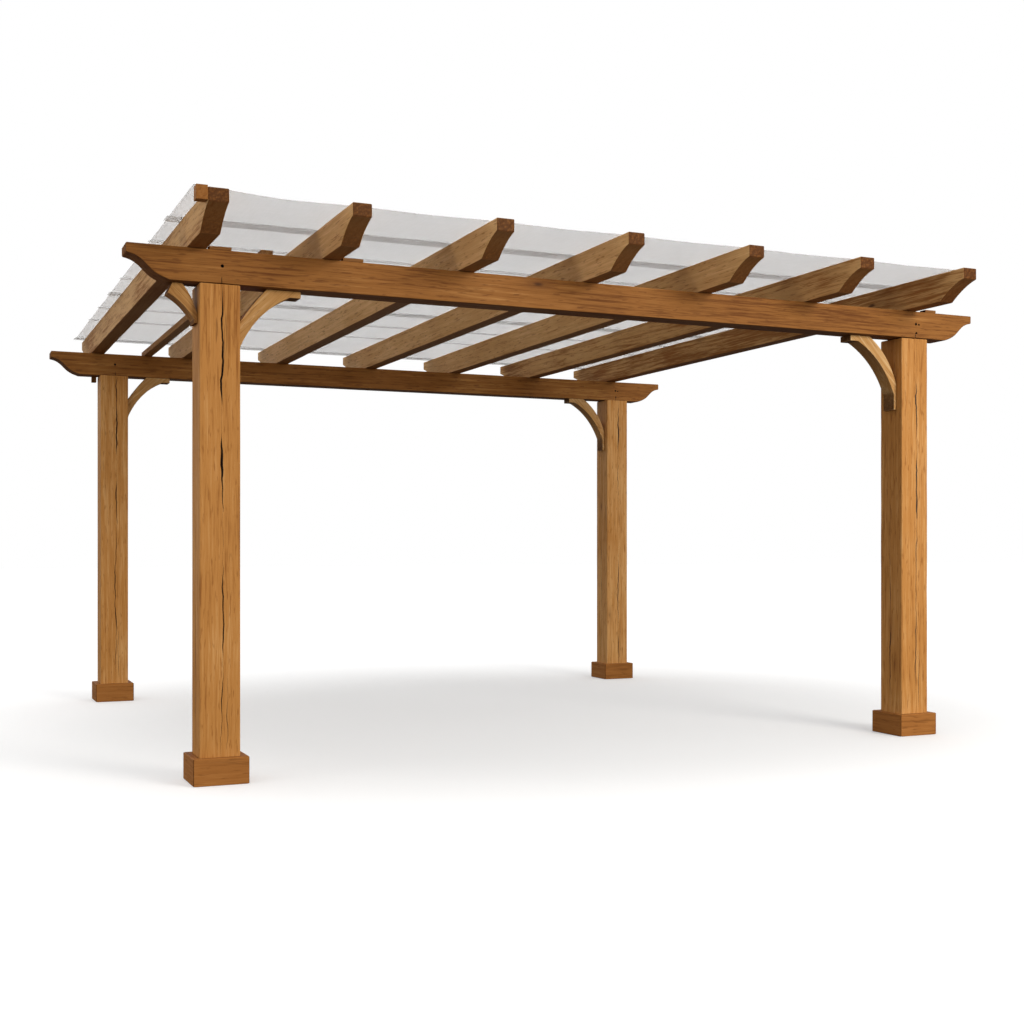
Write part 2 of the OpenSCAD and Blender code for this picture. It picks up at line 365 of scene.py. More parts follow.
class ClothWeave(ShaderGroup):
    """A plain weave with uneven threads and faint stitch lines at the sewn bands, across Z."""

    slub_scale = (9.0, 160.0, 1.0)
    cross_scale = (160.0, 9.0, 1.0)
    cloud_scale = (1.3, 1.3, 1.0)
    stitch_pitch = 0.009

    title = "cloth weave"
    takes = (("Place", "Vector"), ("Thread", "Color"), ("Shade", "Color"), ("Pitch", "Float"))
    gives = (("Color", "Color"), ("Height", "Float"), ("Roughness", "Float"))

    def paint(self, graph: Graph, given: bpy.types.bpy_prop_collection) -> dict[str, Feed]:
        """Build the weave; see the base class for the arguments and the result."""
        spot = given["Place"]
        axes = graph.add("SeparateXYZ", {0: spot}).outputs
        turns = graph.math("DIVIDE", math.tau, given["Pitch"])
        warp = graph.math("SINE", graph.times(axes[0], turns))
        weft = graph.math("SINE", graph.times(axes[1], turns))
        weave = graph.plus(0.5, graph.times(graph.times(warp, weft), 0.5))
        slub = graph.cloud(spot, self.slub_scale, 3.0)
        cross = graph.cloud(spot, self.cross_scale, 3.0)
        cloud = graph.cloud(spot, self.cloud_scale, 3.0)
        tint = graph.plus(graph.swing(slub, 0.5), graph.swing(cross, 0.5), graph.swing(cloud, 0.6), 0.45,
                          graph.times(weave, 0.12))
        stitch = graph.add("Attribute", attribute_name="stitch").outputs["Fac"]
        run = graph.math("SINE", graph.times(axes[0], math.tau / self.stitch_pitch))
        sewn = graph.times(graph.ramp(stitch, 0.55, 0.9), graph.ramp(run, -0.3, 0.3))
        colour = graph.mix(graph.ramp(tint, 0.1, 0.9), given["Shade"], given["Thread"])
        colour = graph.mix(graph.times(sewn, 0.5), colour, given["Shade"])
        height = graph.plus(graph.times(weave, 0.5), graph.times(tint, 0.4), graph.times(sewn, -0.6))
        rough = graph.plus(0.92, graph.swing(cloud, -0.2))
        return {"Color": colour, "Height": height, "Roughness": rough}


@dataclass(frozen=True)
class TimberFinish:
    """A satin stain on sawn softwood.

    The colours are linear. Knots and lines say how strongly those marks show; one share says how much painted
    shade darkens the undersides, and ends how much darker the sawn ends are.
    """

    name: str
    slot: str
    pale: Colour
    mid: Colour
    dark: Colour
    knots: float = 1.0
    lines: float = 1.0
    under: float = 0.55
    ends: float = 0.95
    relief: float = 0.3
    depth: float = 0.003
    shine: float = 0.12

    def material(self, grain: Grain) -> bpy.types.Material:
        """The finish with its grain laid one way."""
        return surface(f"{self.name}_{grain.name.lower()}", lambda *given: self.paint(*given, grain))

    def paint(self, graph: Graph, shader: bpy.types.Node, grain: Grain) -> None:
        """Build the material's nodes.

        Args:
            graph: The material's graph.
            shader: Its Principled BSDF.
            grain: Which way the grain runs.
        """
        spot = graph.add("TexCoord")
        turned = graph.add("Mapping", {"Vector": spot.outputs["Object"], "Rotation": grain.turn})
        facing = graph.add("Mapping", {"Vector": spot.outputs["Normal"], "Rotation": grain.turn})
        # Painted shade: faces that turn downwards are darkened towards a shade colour, by this finish's share.
        fall = graph.times(graph.add("SeparateXYZ", {0: spot.outputs["Normal"]}).outputs[2], -1.0)
        under = graph.times(graph.ramp(fall, 0.15, 0.85), self.under)
        wood = TimberGrain().place(
            graph, Place=turned.outputs[0], Facing=facing.outputs[0], Pale=self.pale, Mid=self.mid,
            Dark=self.dark, Knots=self.knots, Lines=self.lines, Under=under, Ends=self.ends)
        graph.coat(shader, wood["Color"], wood["Roughness"], wood["Height"], self.relief, self.depth)
        shader.inputs["Specular IOR Level"].default_value = self.shine


@dataclass(frozen=True)
class SplitPaintedShade:
    """Painted shade inside drying splits and bolt holes: near-black colours on their walls stand in for the
    shade in these recesses.
    """

    name: str = "split_painted_shade"
    deep: Colour = (0.012, 0.005, 0.002)
    lip: Colour = (0.05, 0.02, 0.008)
    torn_scale: tuple[float, float, float] = (60.0, 60.0, 9.0)
    relief: float = 0.5
    depth: float = 0.002

    def material(self) -> bpy.types.Material:
        """The material, made the first time it is asked for."""
        return surface(self.name, self.paint)

    def paint(self, graph: Graph, shader: bpy.types.Node) -> None:
        """Build the material's nodes in its graph, for its Principled BSDF."""
        torn = graph.cloud(graph.add("TexCoord").outputs["Object"], self.torn_scale, 3.0)
        colour = graph.mix(graph.ramp(torn, 0.35, 0.7), self.deep, self.lip)
        rough = graph.plus(0.75, graph.swing(torn, 0.2))
        graph.coat(shader, colour, rough, torn, self.relief, self.depth)


@dataclass(frozen=True)
class ClothFinish:
    """A woven cloth: linear thread and shade colours, thread pitch in metres and how solid it is.

    Glow is how far light spreads inside it, in metres.
    """

    name: str
    slot: str
    thread: Colour
    shade: Colour
    pitch: float = 0.003
    cover: float = 1.0
    glow: float = 0.004
    relief: float = 0.05
    depth: float = 0.001
    sheen: float = 0.1

    def material(self) -> bpy.types.Material:
        """The material, made the first time it is asked for."""
        return surface(self.name, self.paint)

    def paint(self, graph: Graph, shader: bpy.types.Node) -> None:
        """Build the material's nodes in its graph, for its Principled BSDF."""
        spot = graph.add("TexCoord").outputs["Object"]
        cloth = ClothWeave().place(graph, Place=spot, Thread=self.thread, Shade=self.shade, Pitch=self.pitch)
        graph.coat(shader, cloth["Color"], cloth["Roughness"], cloth["Height"], self.relief, self.depth)
        shader.inputs["Alpha"].default_value = self.cover
        shader.inputs["Sheen Weight"].default_value = self.sheen
        shader.inputs["Subsurface Weight"].default_value = 1.0
        shader.inputs["Subsurface Radius"].default_value = (1.0, 1.0, 1.0)
        shader.inputs["Subsurface Scale"].default_value = self.glow


POST_STAIN = TimberFinish(
    "post_stain", "stained_timber",
    (0.61, 0.322, 0.112), (0.46, 0.199, 0.047), (0.25, 0.088, 0.016), knots=0.7, lines=0.8)
BEAM_STAIN = TimberFinish(
    "beam_stain", "stained_timber",
    (0.46, 0.214, 0.057), (0.275, 0.108, 0.022), (0.13, 0.042, 0.008), lines=0.5, ends=0.3)
RAFTER_STAIN = TimberFinish(
    "rafter_stain", "rafter_timber",
    (0.76, 0.46, 0.205), (0.60, 0.335, 0.127), (0.28, 0.108, 0.024), lines=0.35, under=0.85)
BRACE_STAIN = TimberFinish(
    "brace_stain", "brace_timber",
    (0.61, 0.395, 0.185), (0.44, 0.225, 0.070), (0.26, 0.108, 0.026), knots=0.3, lines=0.3)
TRIM_STAIN = TimberFinish(
    "trim_stain", "brace_timber",
    (0.30, 0.135, 0.038), (0.21, 0.086, 0.021), (0.11, 0.040, 0.009), knots=0.3, lines=0.3)
RAIL_STAIN = TimberFinish(
    "rail_stain", "brace_timber",
    (0.62, 0.36, 0.15), (0.46, 0.235, 0.085), (0.24, 0.10, 0.028), knots=0.3, lines=0.3, ends=0.3)
PLINTH_STAIN = TimberFinish(
    "plinth_stain", "plinth_timber",
    (0.42, 0.175, 0.044), (0.33, 0.124, 0.026), (0.19, 0.066, 0.012), knots=0.4, lines=0.5)
CORNER_STAIN = replace(PLINTH_STAIN, name="corner_stain", slot="brace_timber", ends=0.3)
CANOPY_CLOTH = ClothFinish(
    "canopy_weave", "canopy_cloth", (0.80, 0.80, 0.80), (0.70, 0.70, 0.70), pitch=0.003, cover=0.31)
BAND_CLOTH = ClothFinish(
    "band_weave", "batten_cloth", (0.74, 0.74, 0.73), (0.62, 0.62, 0.615), pitch=0.004, cover=0.32)
NARROW_BAND_CLOTH = replace(BAND_CLOTH, name="narrow_band_weave", cover=0.2)


def placed(name: str, data: bpy.types.ID) -> bpy.types.Object:
    """A new object in the scene, at the origin."""
    made = bpy.data.objects.new(name, data)
    bpy.context.scene.collection.objects.link(made)
    return made


def finished(mesh: bpy.types.Mesh, name: str, slot: str, node: str) -> bpy.types.Object:
    """Put a mesh into the scene as the piece that stands for a CAD node.

    Args:
        mesh: The piece's mesh, with its place in it.
        name: The piece's name.
        slot: The record's material slot; not used.
        node: The CAD node that it stands for.

    Returns:
        The piece, which rides on the frame.
    """
    piece = placed(name, mesh)
    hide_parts(node)
    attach(piece, "root")
    return piece


def smoothed(mesh: bpy.types.Mesh, angle: float = 32.0) -> None:
    """Shade a mesh smooth, with creases where it turns by more than an angle in degrees."""
    mesh.polygons.foreach_set("use_smooth", [True] * len(mesh.polygons))
    mesh.set_sharp_from_angle(angle=math.radians(angle))


def meshed(shape: bmesh.types.BMesh, name: str) -> bpy.types.Mesh:
    """Turn a shape that is ready into a named mesh."""
    mesh = bpy.data.meshes.new(name)
    shape.to_mesh(mesh)
    shape.free()
    return mesh


def slit(shape: bmesh.types.BMesh, point: Vector, along: Vector) -> None:
    """Part a shape's faces on the plane through a point that faces along a direction."""
    bmesh.ops.bisect_plane(shape, geom=[*shape.verts, *shape.edges, *shape.faces], dist=HAIR,
                           plane_co=point, plane_no=along)


def lay_even_rows(shape: bmesh.types.BMesh, along: Vector, start: float, end: float, cuts: int) -> None:
    """Part a shape's faces into even rows.

    Args:
        shape: The shape to part.
        along: The direction in which the rows follow each other.
        start: Where the first row starts, along that direction.
        end: Where the last row ends.
        cuts: How many cuts part the rows.
    """
    for k in range(1, cuts + 1):
        slit(shape, along * (start + (end - start) * k / (cuts + 1)), along)


@dataclass(frozen=True)
class Split:
    """A drying split that opens along one face of a timber, in metres.

    Its opening is its usual share of the width, how far that swings, and the swings per metre. Each bend
    is a sideways reach, the bends per metre and a seed.
    """

    side: Side
    across: float
    low: float
    high: float
    width: float = 0.005
    depth: float = 0.03
    least: float = 0.002
    shallow: float = 0.004
    proud: float = 0.004
    stride: float = 0.022
    fewest: int = 6
    blunt: float = 0.02
    opening: tuple[float, float, float] = (0.42, 1.2, 6.3)
    bends: tuple[tuple[float, float, float], ...] = (
        (0.011, 2.3, 0.0), (0.006, 11.0, 5.0), (0.0045, 37.0, 9.0))

    def cut(self, tool: bmesh.types.BMesh, low: Vector, high: Vector) -> None:
        """Add the wedge that cuts the split.

        Args:
            tool: The mesh that takes the wedge.
            low: The timber's lowest corner.
            high: The timber's highest corner.
        """
        out, across = self.side.out, self.side.across
        middle, half = (low + high) / 2, (high - low) / 2
        face = middle + Vector(a * b for a, b in zip(out, half))
        steps = max(self.fewest, round((self.high - self.low) / self.stride))
        foot = self.section(face, out, across, 0.0)
        ring = list(tool.faces.new([tool.verts.new(p) for p in foot]).edges)
        for k in range(1, steps + 1):
            before = self.section(face, out, across, (k - 1) / steps)
            after = self.section(face, out, across, k / steps)
            made = bmesh.ops.extrude_edge_only(tool, edges=ring)["geom"]
            ring = [g for g in made if isinstance(g, bmesh.types.BMEdge)]
            for vert in (g for g in made if isinstance(g, bmesh.types.BMVert)):
                corner = min(range(3), key=lambda c: (before[c] - vert.co).length)
                vert.co = after[corner]
        bmesh.ops.edgeloop_fill(tool, edges=ring)

    def section(self, face: Vector, out: Vector, across: Vector, share: float) -> list[Vector]:
        """The three corners of the wedge.

        Args:
            face: The middle of the timber's face.
            out: The face's outward direction.
            across: The level direction along the face.
            share: How far up the split, from 0 to 1.

        Returns:
            The two outer corners and the deep one.
        """
        height = self.low + share * (self.high - self.low)
        seed = 10 * face + Vector((0, 0, self.across * 40))
        bend = sum(reach * noise.noise(seed + Vector((key, 0, height * pace)))
                   for reach, pace, key in self.bends)
        usual, swing, pace = self.opening
        gape = max(0.0, usual + swing * noise.noise(seed + Vector((0, 7, height * pace))))
        taper = math.sin(math.pi * (self.blunt + (1 - 2 * self.blunt) * share)) ** 0.5
        wide = (self.least + self.width * gape) * taper
        deep = max(self.shallow, self.depth * wide / self.width)
        base = face + across * (self.across + bend)
        base.z = height
        return [base - across * wide / 2 + out * self.proud,
                base + across * wide / 2 + out * self.proud, base - out * deep]


@dataclass(frozen=True)
class BoltHole:
    """A bolt hole in the front of a beam: its place along the beam, its height and its radius in metres."""

    along: float
    height: float
    radius: float = 0.009
    depth: float = 0.022
    inner: float = 0.9
    sides: int = 9

    def cut(self, tool: bmesh.types.BMesh, low: Vector, high: Vector) -> None:
        """Add the round cutter, on the beam's front face, from the corners of its box."""
        place = Matrix.Translation((self.along, low.y, self.height)) @ Matrix.Rotation(math.pi / 2, 4, "X")
        bmesh.ops.create_cone(tool, cap_ends=True, segments=self.sides, radius1=self.radius,
                              radius2=self.radius * self.inner, depth=2 * self.depth, matrix=place)


@dataclass
class Timber:
    """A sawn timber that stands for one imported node, with eased arrises and faces that aren't quite flat."""

    node: str
    finish: TimberFinish
    grain: Grain
    tone: float
    arris: float = 0.005
    stride: float = 0.11
    wander: float = 0.0012
    bite: float = 0.0022
    cuts: tuple[Split | BoltHole, ...] = ()
    wander_pace: float = 1.9
    bite_pace: float = 7.0

    def build(self) -> bpy.types.Object:
        """Make the piece and dress it.

        Returns:
            The piece that replaces the node.
        """
        shape = self.roughed()
        self.ease(shape)
        self.lay_rows(shape)
        self.wear(shape)
        self.lay_grain(shape)
        mesh = meshed(shape, self.node + "_timber")
        for grain in self.grains():
            mesh.materials.append(self.finish.material(grain))
        piece = finished(mesh, self.node + "_timber", self.finish.slot, self.node)
        if self.cuts:
            self.open_cuts(piece)
        smoothed(piece.data)
        weights = piece.modifiers.new("even shading", "WEIGHTED_NORMAL")
        weights.keep_sharp = True
        return piece

    def grains(self) -> tuple[Grain, ...]:
        """The grain directions that the piece's faces use, in the order of their material numbers."""
        return (self.grain,)

    def lay_grain(self, shape: bmesh.types.BMesh) -> None:
        """Give faces their material numbers; one direction needs none."""

    def roughed(self) -> bmesh.types.BMesh:
        """A merged copy of the node's mesh, with flat faces in one piece."""
        shape = bmesh.new()
        shape.from_mesh(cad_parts[self.node].data)
        bmesh.ops.remove_doubles(shape, verts=shape.verts, dist=MERGE)
        bmesh.ops.dissolve_limit(shape, angle_limit=FLAT, verts=shape.verts, edges=shape.edges)
        for layer in list(shape.loops.layers.uv.values()):
            shape.loops.layers.uv.remove(layer)
        for face in shape.faces:
            face.material_index = 0
        return shape

    def ease(self, shape: bmesh.types.BMesh) -> None:
        """Round the arrises and mark the middle of each, for small bites of wear and for a painted highlight
        along them.
        """
        mark = shape.verts.layers.float.new("arris")
        sharp = [e for e in shape.edges if len(e.link_faces) == 2 and e.calc_face_angle() > SHARP]
        made = bmesh.ops.bevel(shape, geom=sharp, offset=self.arris, offset_type="OFFSET", affect="EDGES",
                               segments=2, profile=0.5, material=-1, clamp_overlap=True)
        eased = set(made["faces"])
        for vert in shape.verts:
            vert[mark] = 1.0 if all(f in eased for f in vert.link_faces) else 0.0

    def lay_rows(self, shape: bmesh.types.BMesh) -> None:
        """Cut the faces across the grain, so that they can wander."""
        if not self.stride:
            return
        along = self.grain.along
        spots = [v.co.dot(along) for v in shape.verts]
        start, end = min(spots), max(spots)
        lay_even_rows(shape, along, start, end, int((end - start) / self.stride))

    def wear(self, shape: bmesh.types.BMesh) -> None:
        """Let the faces wander inwards a little and take small bites out of the arrises."""
        mark, hue = shape.verts.layers.float["arris"], shape.verts.layers.float.new("tone")
        shape.normal_update()
        moves, seed = [], self.tone * 9
        for vert in shape.verts:
            slow = 0.5 + 0.5 * noise.noise(vert.co * self.wander_pace + Vector((seed, 0, 0)))
            quick = max(0.0, noise.noise(vert.co * self.bite_pace + Vector((0, seed, 0))))
            moves.append(self.wander * slow + self.bite * quick * vert[mark])
            vert[hue] = self.tone
        for vert, inward in zip(shape.verts, moves):
            vert.co -= vert.normal * inward

    def open_cuts(self, piece: bpy.types.Object) -> None:
        """Cut the splits and holes out of a piece, one after another."""
        for cut in self.cuts:
            tool = bmesh.new()
            cut.cut(tool, *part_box(self.node))
            bmesh.ops.recalc_face_normals(tool, faces=tool.faces)
            if tool.calc_volume(signed=True) < 0:
                bmesh.ops.reverse_faces(tool, faces=tool.faces)
            most = tool.calc_volume()
            mesh = meshed(tool, "cutter")
            # The cutter carries the painted shade, which the cut passes on to the walls of each split and
            # hole.
            mesh.materials.append(SplitPaintedShade().material())
            self.open_cut(piece, mesh, most)
        whole = piece.data
        whole.attributes["tone"].data.foreach_set("value", [self.tone] * len(whole.vertices))

    def open_cut(self, piece: bpy.types.Object, mesh: bpy.types.Mesh, most: float) -> None:
        """Cut one mesh out of a piece, and leave the piece alone if that takes away more than it should.

        Args:
            piece: The piece to cut.
            mesh: The cutter's closed mesh, in the piece's frame.
            most: The cutter's volume in cubic metres.
        """
        cutter = placed("cutter", mesh)
        step = piece.modifiers.new("cut", "BOOLEAN")
        step.operation, step.solver, step.object = "DIFFERENCE", "EXACT", cutter
        step.material_mode = "TRANSFER"
        bpy.context.view_layer.update()
        shown = piece.evaluated_get(bpy.context.evaluated_depsgraph_get())
        left = bpy.data.meshes.new_from_object(shown)
        piece.modifiers.clear()
        taken = volume(piece.data) - volume(left)
        if abs(taken) <= most + CUBIC_CM:
            piece.data = left
        else:
            log.warning("%s: a cut of %.1f cubic cm was left out", self.node, most / CUBIC_CM)
        bpy.data.objects.remove(cutter)


def volume(mesh: bpy.types.Mesh) -> float:
    """The volume inside a closed mesh in cubic metres."""
    shape = bmesh.new()
    shape.from_mesh(mesh)
    inside = shape.calc_volume(signed=True)
    shape.free()
    return inside


@dataclass
class SmallTimber(Timber):
    """A short or slender timber, with finer edges and less wear, and no rows across it."""

    arris: float = 0.003
    stride: float = 0.0
    wander: float = 0.0006
    bite: float = 0.001


@dataclass
class Plinth(Timber):
    """Four mitred boards round a post's foot, each with its grain along it."""

    def grains(self) -> tuple[Grain, ...]:
        """Boards along X come first, then those along Y."""
        return (Grain.ALONG_X, Grain.ALONG_Y)

    def lay_rows(self, shape: bmesh.types.BMesh) -> None:
        """Cut the boards across both level directions."""
        low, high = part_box(self.node)
        for axis in (Vector((1, 0, 0)), Vector((0, 1, 0))):
            start, end = low.dot(axis), high.dot(axis)
            lay_even_rows(shape, axis, start, end, int((end - start) / self.stride))

    def lay_grain(self, shape: bmesh.types.BMesh) -> None:
        """Turn the grain of each board along its longer side."""
        for board in islands(shape):
            places = [v.co for f in board for v in f.verts]
            wide = max(p.x for p in places) - min(p.x for p in places)
            deep = max(p.y for p in places) - min(p.y for p in places)
            for face in board:
                face.material_index = 0 if wide > deep else 1


def islands(shape: bmesh.types.BMesh) -> Iterator[set[bmesh.types.BMFace]]:
    """Each set of faces that hang together in a mesh."""
    left = set(shape.faces)
    while left:
        found, edge = set(), {left.pop()}
        while edge:
            found |= edge
            edge = {f for face in edge for e in face.edges for f in e.link_faces} - found
        left -= found
        yield found


@dataclass
class Canopy:
    """The stretched sheet with its sewn bands, over the rafters."""

    rafters: tuple[str, ...]
    bands: tuple[str, ...]
    columns: int = 96
    rows: int = 88
    corner_pull: float = 0.088
    corner_run: float = 0.48
    corner_curve: float = 1.6
    thickness: float = 0.0012
    sag: float = 0.009
    rest_sag: float = 0.0025
    edge_sag: float = 0.004
    edge_run: float = 0.4
    ripple: float = 0.0015
    ripple_pace: tuple[float, float] = (2.1, 3.3)
    hem: float = 0.004
    thread: float = 0.0006
    sheet_crease: float = 60.0
    wide_band: float = 0.08
    band_roll: float = 0.42
    band_stride: float = 0.1
    band_crease: float = 50.0
    bar_end: float = 0.012
    bar_inset: float = 0.0012
    pinch: float = 0.0008
    pinch_pace: float = 6.0
    pinch_start: float = 0.01

    def build(self) -> list[bpy.types.Object]:
        """Make the bands and then the sheet that they are sewn to.

        Returns:
            The sheet and its bands.
        """
        sleeves = [self.band(node) for node in self.bands]
        sheet = self.sheet()
        list(self.rafters)
        return [sheet, *sleeves]

    def supports(self, nodes: Sequence[str], axis: int) -> list[float]:
        """The middles of some nodes along one axis, in order."""
        return sorted(sum(corner[axis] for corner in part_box(n)) / 2 for n in nodes)

    @staticmethod
    def between(spot: float, marks: Sequence[float]) -> float:
        """How far a spot is from the marks on either side: 0 on one of them, 1 midway."""
        for first, second in zip(marks, marks[1:]):
            if first <= spot <= second:
                return math.sin(math.pi * (spot - first) / (second - first)) ** 2
        return 0.0

    def sheet(self) -> bpy.types.Object:
        """The cloth: a grid drawn out to the cut outline, let down between its supports and thickened."""
        low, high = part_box("canopy_sheet")
        beams, bands = self.supports(self.rafters, 0), self.supports(self.bands, 1)
        front = low.y + self.corner_pull
        shape = bmesh.new()
        bmesh.ops.create_grid(shape, x_segments=self.columns, y_segments=self.rows, size=0.5)
        for vert in shape.verts:
            u, v = vert.co.x + 0.5, vert.co.y + 0.5
            x = low.x + u * (high.x - low.x)
            pull = max(0.0, 1 - (x - low.x) / self.corner_run) ** self.corner_curve
            hem = front - self.corner_pull * pull
            vert.co = (x, hem + v * (high.y - hem), high.z)
        seams = [side for node in self.bands for side in (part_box(node)[0].y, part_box(node)[1].y)]
        for seam in seams:
            for side in (-self.hem, 0.0, self.hem):
                slit(shape, Vector((0, seam + side, 0)), Vector((0, 1, 0)))
        sewn = shape.verts.layers.float.new("stitch")
        for vert in shape.verts:
            x, y, _ = vert.co
            vert[sewn] = float(min(abs(y - seam) for seam in seams) < self.thread)
            bay, gap = self.between(x, beams), self.between(y, bands)
            drop = gap * (self.rest_sag + self.sag * bay)
            if y < bands[0]:
                free = min(1.0, (bands[0] - y) / self.edge_run)
                drop = self.edge_sag * bay * free * free
            spot = Vector((x * self.ripple_pace[0], y * self.ripple_pace[1], 0.7))
            ripple = self.ripple * noise.noise(spot) * bay
            vert.co.z = high.z - drop + min(0.0, ripple)
        shape.edges.index_update()
        border = [edge.index for edge in shape.edges if edge.is_boundary]
        mesh = meshed(shape, "canopy_cloth")
        mesh.materials.append(CANOPY_CLOTH.material())
        smoothed(mesh, self.sheet_crease)
        for index in border:
            mesh.edges[index].use_edge_sharp = True
        piece = finished(mesh, "canopy_cloth", CANOPY_CLOTH.slot, "canopy_sheet")
        thick = piece.modifiers.new("cloth thickness", "SOLIDIFY")
        thick.thickness, thick.offset = self.thickness, -1.0
        return piece

    def band(self, node: str) -> bpy.types.Object:
        """A sewn band: a flat sleeve round a batten whose ends show.

        Args:
            node: The batten that it stands for.

        Returns:
            The band.
        """
        low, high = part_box(node)
        middle, size = (low + high) / 2, high - low
        size.x -= 2 * self.bar_end
        shape = bmesh.new()
        place = Matrix.Translation(middle) @ Matrix.Diagonal((*size, 1.0))
        bmesh.ops.create_cube(shape, size=1.0, matrix=place)
        long = [e for e in shape.edges if abs((e.verts[0].co - e.verts[1].co).x) > size.x / 2]
        bmesh.ops.bevel(shape, geom=long, offset=size.z * self.band_roll, offset_type="OFFSET",
                        affect="EDGES", segments=3, profile=0.5, material=-1)
        ends = [f for f in shape.faces if abs(f.normal.x) > 0.9]
        for end in ends:
            out = Vector((math.copysign(1, end.normal.x), 0, 0))
            bmesh.ops.inset_region(shape, faces=[end], thickness=self.bar_inset, use_even_offset=True)
            made = bmesh.ops.extrude_face_region(shape, geom=[end])["geom"]
            tip = [g for g in made if isinstance(g, bmesh.types.BMVert)]
            bmesh.ops.translate(shape, verts=tip, vec=out * self.bar_end)
            bmesh.ops.delete(shape, geom=[end], context="FACES_ONLY")
        start, end = middle.x - size.x / 2, middle.x + size.x / 2
        lay_even_rows(shape, Vector((1, 0, 0)), start, end, int(size.x / self.band_stride) - 1)
        for vert in shape.verts:
            if abs(vert.co.x - middle.x) < size.x / 2 - self.pinch_start:
                pinch = self.pinch * (0.5 + 0.5 * noise.noise(vert.co * self.pinch_pace))
                vert.co.y -= math.copysign(pinch, vert.co.y - middle.y)
        bmesh.ops.recalc_face_normals(shape, faces=shape.faces)
        mesh = meshed(shape, node + "_sleeve")
        finish = BAND_CLOTH if size.y > self.wide_band else NARROW_BAND_CLOTH
        mesh.materials.append(finish.material())
        smoothed(mesh, self.band_crease)
        return finished(mesh, node + "_sleeve", finish.slot, node)


@dataclass(frozen=True)
class Lamp:
    """A round lamp: its power in watts, its diameter in metres, its place and the point that it faces."""

    name: str
    power: float
    size: float
    place: tuple[float, float, float]
    aim: tuple[float, float, float]
    tint: Colour = (1.0, 0.97, 0.92)

    def hang(self) -> None:
        """Put the lamp into the scene."""
        light = bpy.data.lights.new(self.name, "AREA")
        light.shape, light.size, light.energy, light.color = "DISK", self.size, self.power, self.tint
        seat = placed(self.name, light)
        seat.location = self.place
        seat.rotation_euler = (Vector(self.place) - Vector(self.aim)).to_track_quat("Z", "Y").to_euler()


@dataclass
class Studio:
    """The white floor, the soft light and the camera.

    The glow lifts the floor for the camera only, less near the part, which paints a soft shadow under it, and
    more far from it, which paints the floor white; the bounce is how pale the part sees it.
    """

    eye: tuple[float, float, float] = (-3.3105, -8.1750, 1.10635)
    heading: float = -23.836
    lens: float = 47.30
    sensor: float = 36.0
    rise: float = 0.0330
    sight: float = 500.0
    sky: float = 0.8
    floor_size: float = 120.0
    floor_shades: tuple[Colour, Colour] = ((0.71, 0.71, 0.71), (0.73, 0.73, 0.73))
    floor_scale: tuple[float, float, float] = (0.7, 0.7, 0.7)
    floor_rough: float = 0.9
    floor_shine: float = 0.1
    glow: tuple[float, float] = (0.21, 0.48)
    painted_shadow_reach: tuple[float, float] = (1.8, 4.4)
    painted_shadow_middle: tuple[float, float, float] = (0.5, -0.2, 0.0)
    bounce: float = 0.15
    bounce_tint: Colour = (1.0, 0.97, 0.93)
    lamps: tuple[Lamp, ...] = (  # a broad key at the front right and a low fill at the left
        Lamp("key", 620.0, 4.5, (3.6, -9.8, 3.6), (0.0, 0.0, 1.2)),
        Lamp("fill", 42.0, 1.3, (-7.0, -3.0, 0.75), (0.0, 0.0, 2.2)))

    def build(self) -> None:
        """Make the floor, the lights and the camera."""
        bpy.context.scene.view_settings.view_transform = "Standard"
        self.floor()
        self.light()
        self.camera()

    def floor(self) -> None:
        """A wide pale floor that fades into the sky."""
        shape = bmesh.new()
        bmesh.ops.create_grid(shape, x_segments=2, y_segments=2, size=self.floor_size / 2)
        mesh = meshed(shape, "studio_floor")
        mesh.materials.append(surface("studio_floor", self.paint_floor))
        ground = placed("studio_floor", mesh)

    def paint_floor(self, graph: Graph, shader: bpy.types.Node) -> None:
        """Build the floor's nodes in its material's graph, for its Principled BSDF."""
        seen = graph.add("LightPath").outputs["Is Camera Ray"]
        spot = graph.add("TexCoord").outputs["Object"]
        white = graph.mix(graph.cloud(spot, self.floor_scale, 2.0), *self.floor_shades)
        dim = tuple(self.bounce * share for share in self.bounce_tint)
        graph.feed(shader.inputs["Base Color"], graph.mix(seen, dim, white))
        # Painted shadow: the glow is weaker near the part's middle and stronger far from it, so the floor
        # under the part is painted a soft shadow.
        gap = graph.add("VectorMath", {0: spot, 1: self.painted_shadow_middle}, operation="DISTANCE").outputs["Value"]
        near, far = self.glow
        glow = graph.math("MULTIPLY_ADD", graph.ramp(gap, *self.painted_shadow_reach), far - near, near)
        graph.feed(shader.inputs["Emission Strength"], graph.times(seen, glow))
        shader.inputs["Emission Color"].default_value = WHITE
        shader.inputs["Roughness"].default_value = self.floor_rough
        shader.inputs["Specular IOR Level"].default_value = self.floor_shine

    def light(self) -> None:
        """A soft sky that looks white to the camera, and the lamps."""
        world = bpy.data.worlds.new("studio_sky")
        world.use_nodes = True
        graph, sky = Graph(world.node_tree), world.node_tree.nodes["Background"]
        seen = graph.add("LightPath").outputs["Is Camera Ray"]
        graph.feed(sky.inputs["Strength"], graph.math("MAXIMUM", seen, self.sky))
        sky.inputs["Color"].default_value = WHITE
        bpy.context.scene.world = world
        for lamp in self.lamps:
            lamp.hang()

    def camera(self) -> None:
        """The photograph's view: level, turned to the right, with the horizon a little low."""
        data = bpy.data.cameras.new("camera")
        data.lens, data.sensor_width, data.shift_y = self.lens, self.sensor, self.rise
        data.clip_end = self.sight
        seat = placed("camera", data)
        seat.location = self.eye
        seat.rotation_euler = (math.pi / 2, 0.0, math.radians(self.heading))
        bpy.context.scene.camera = seat


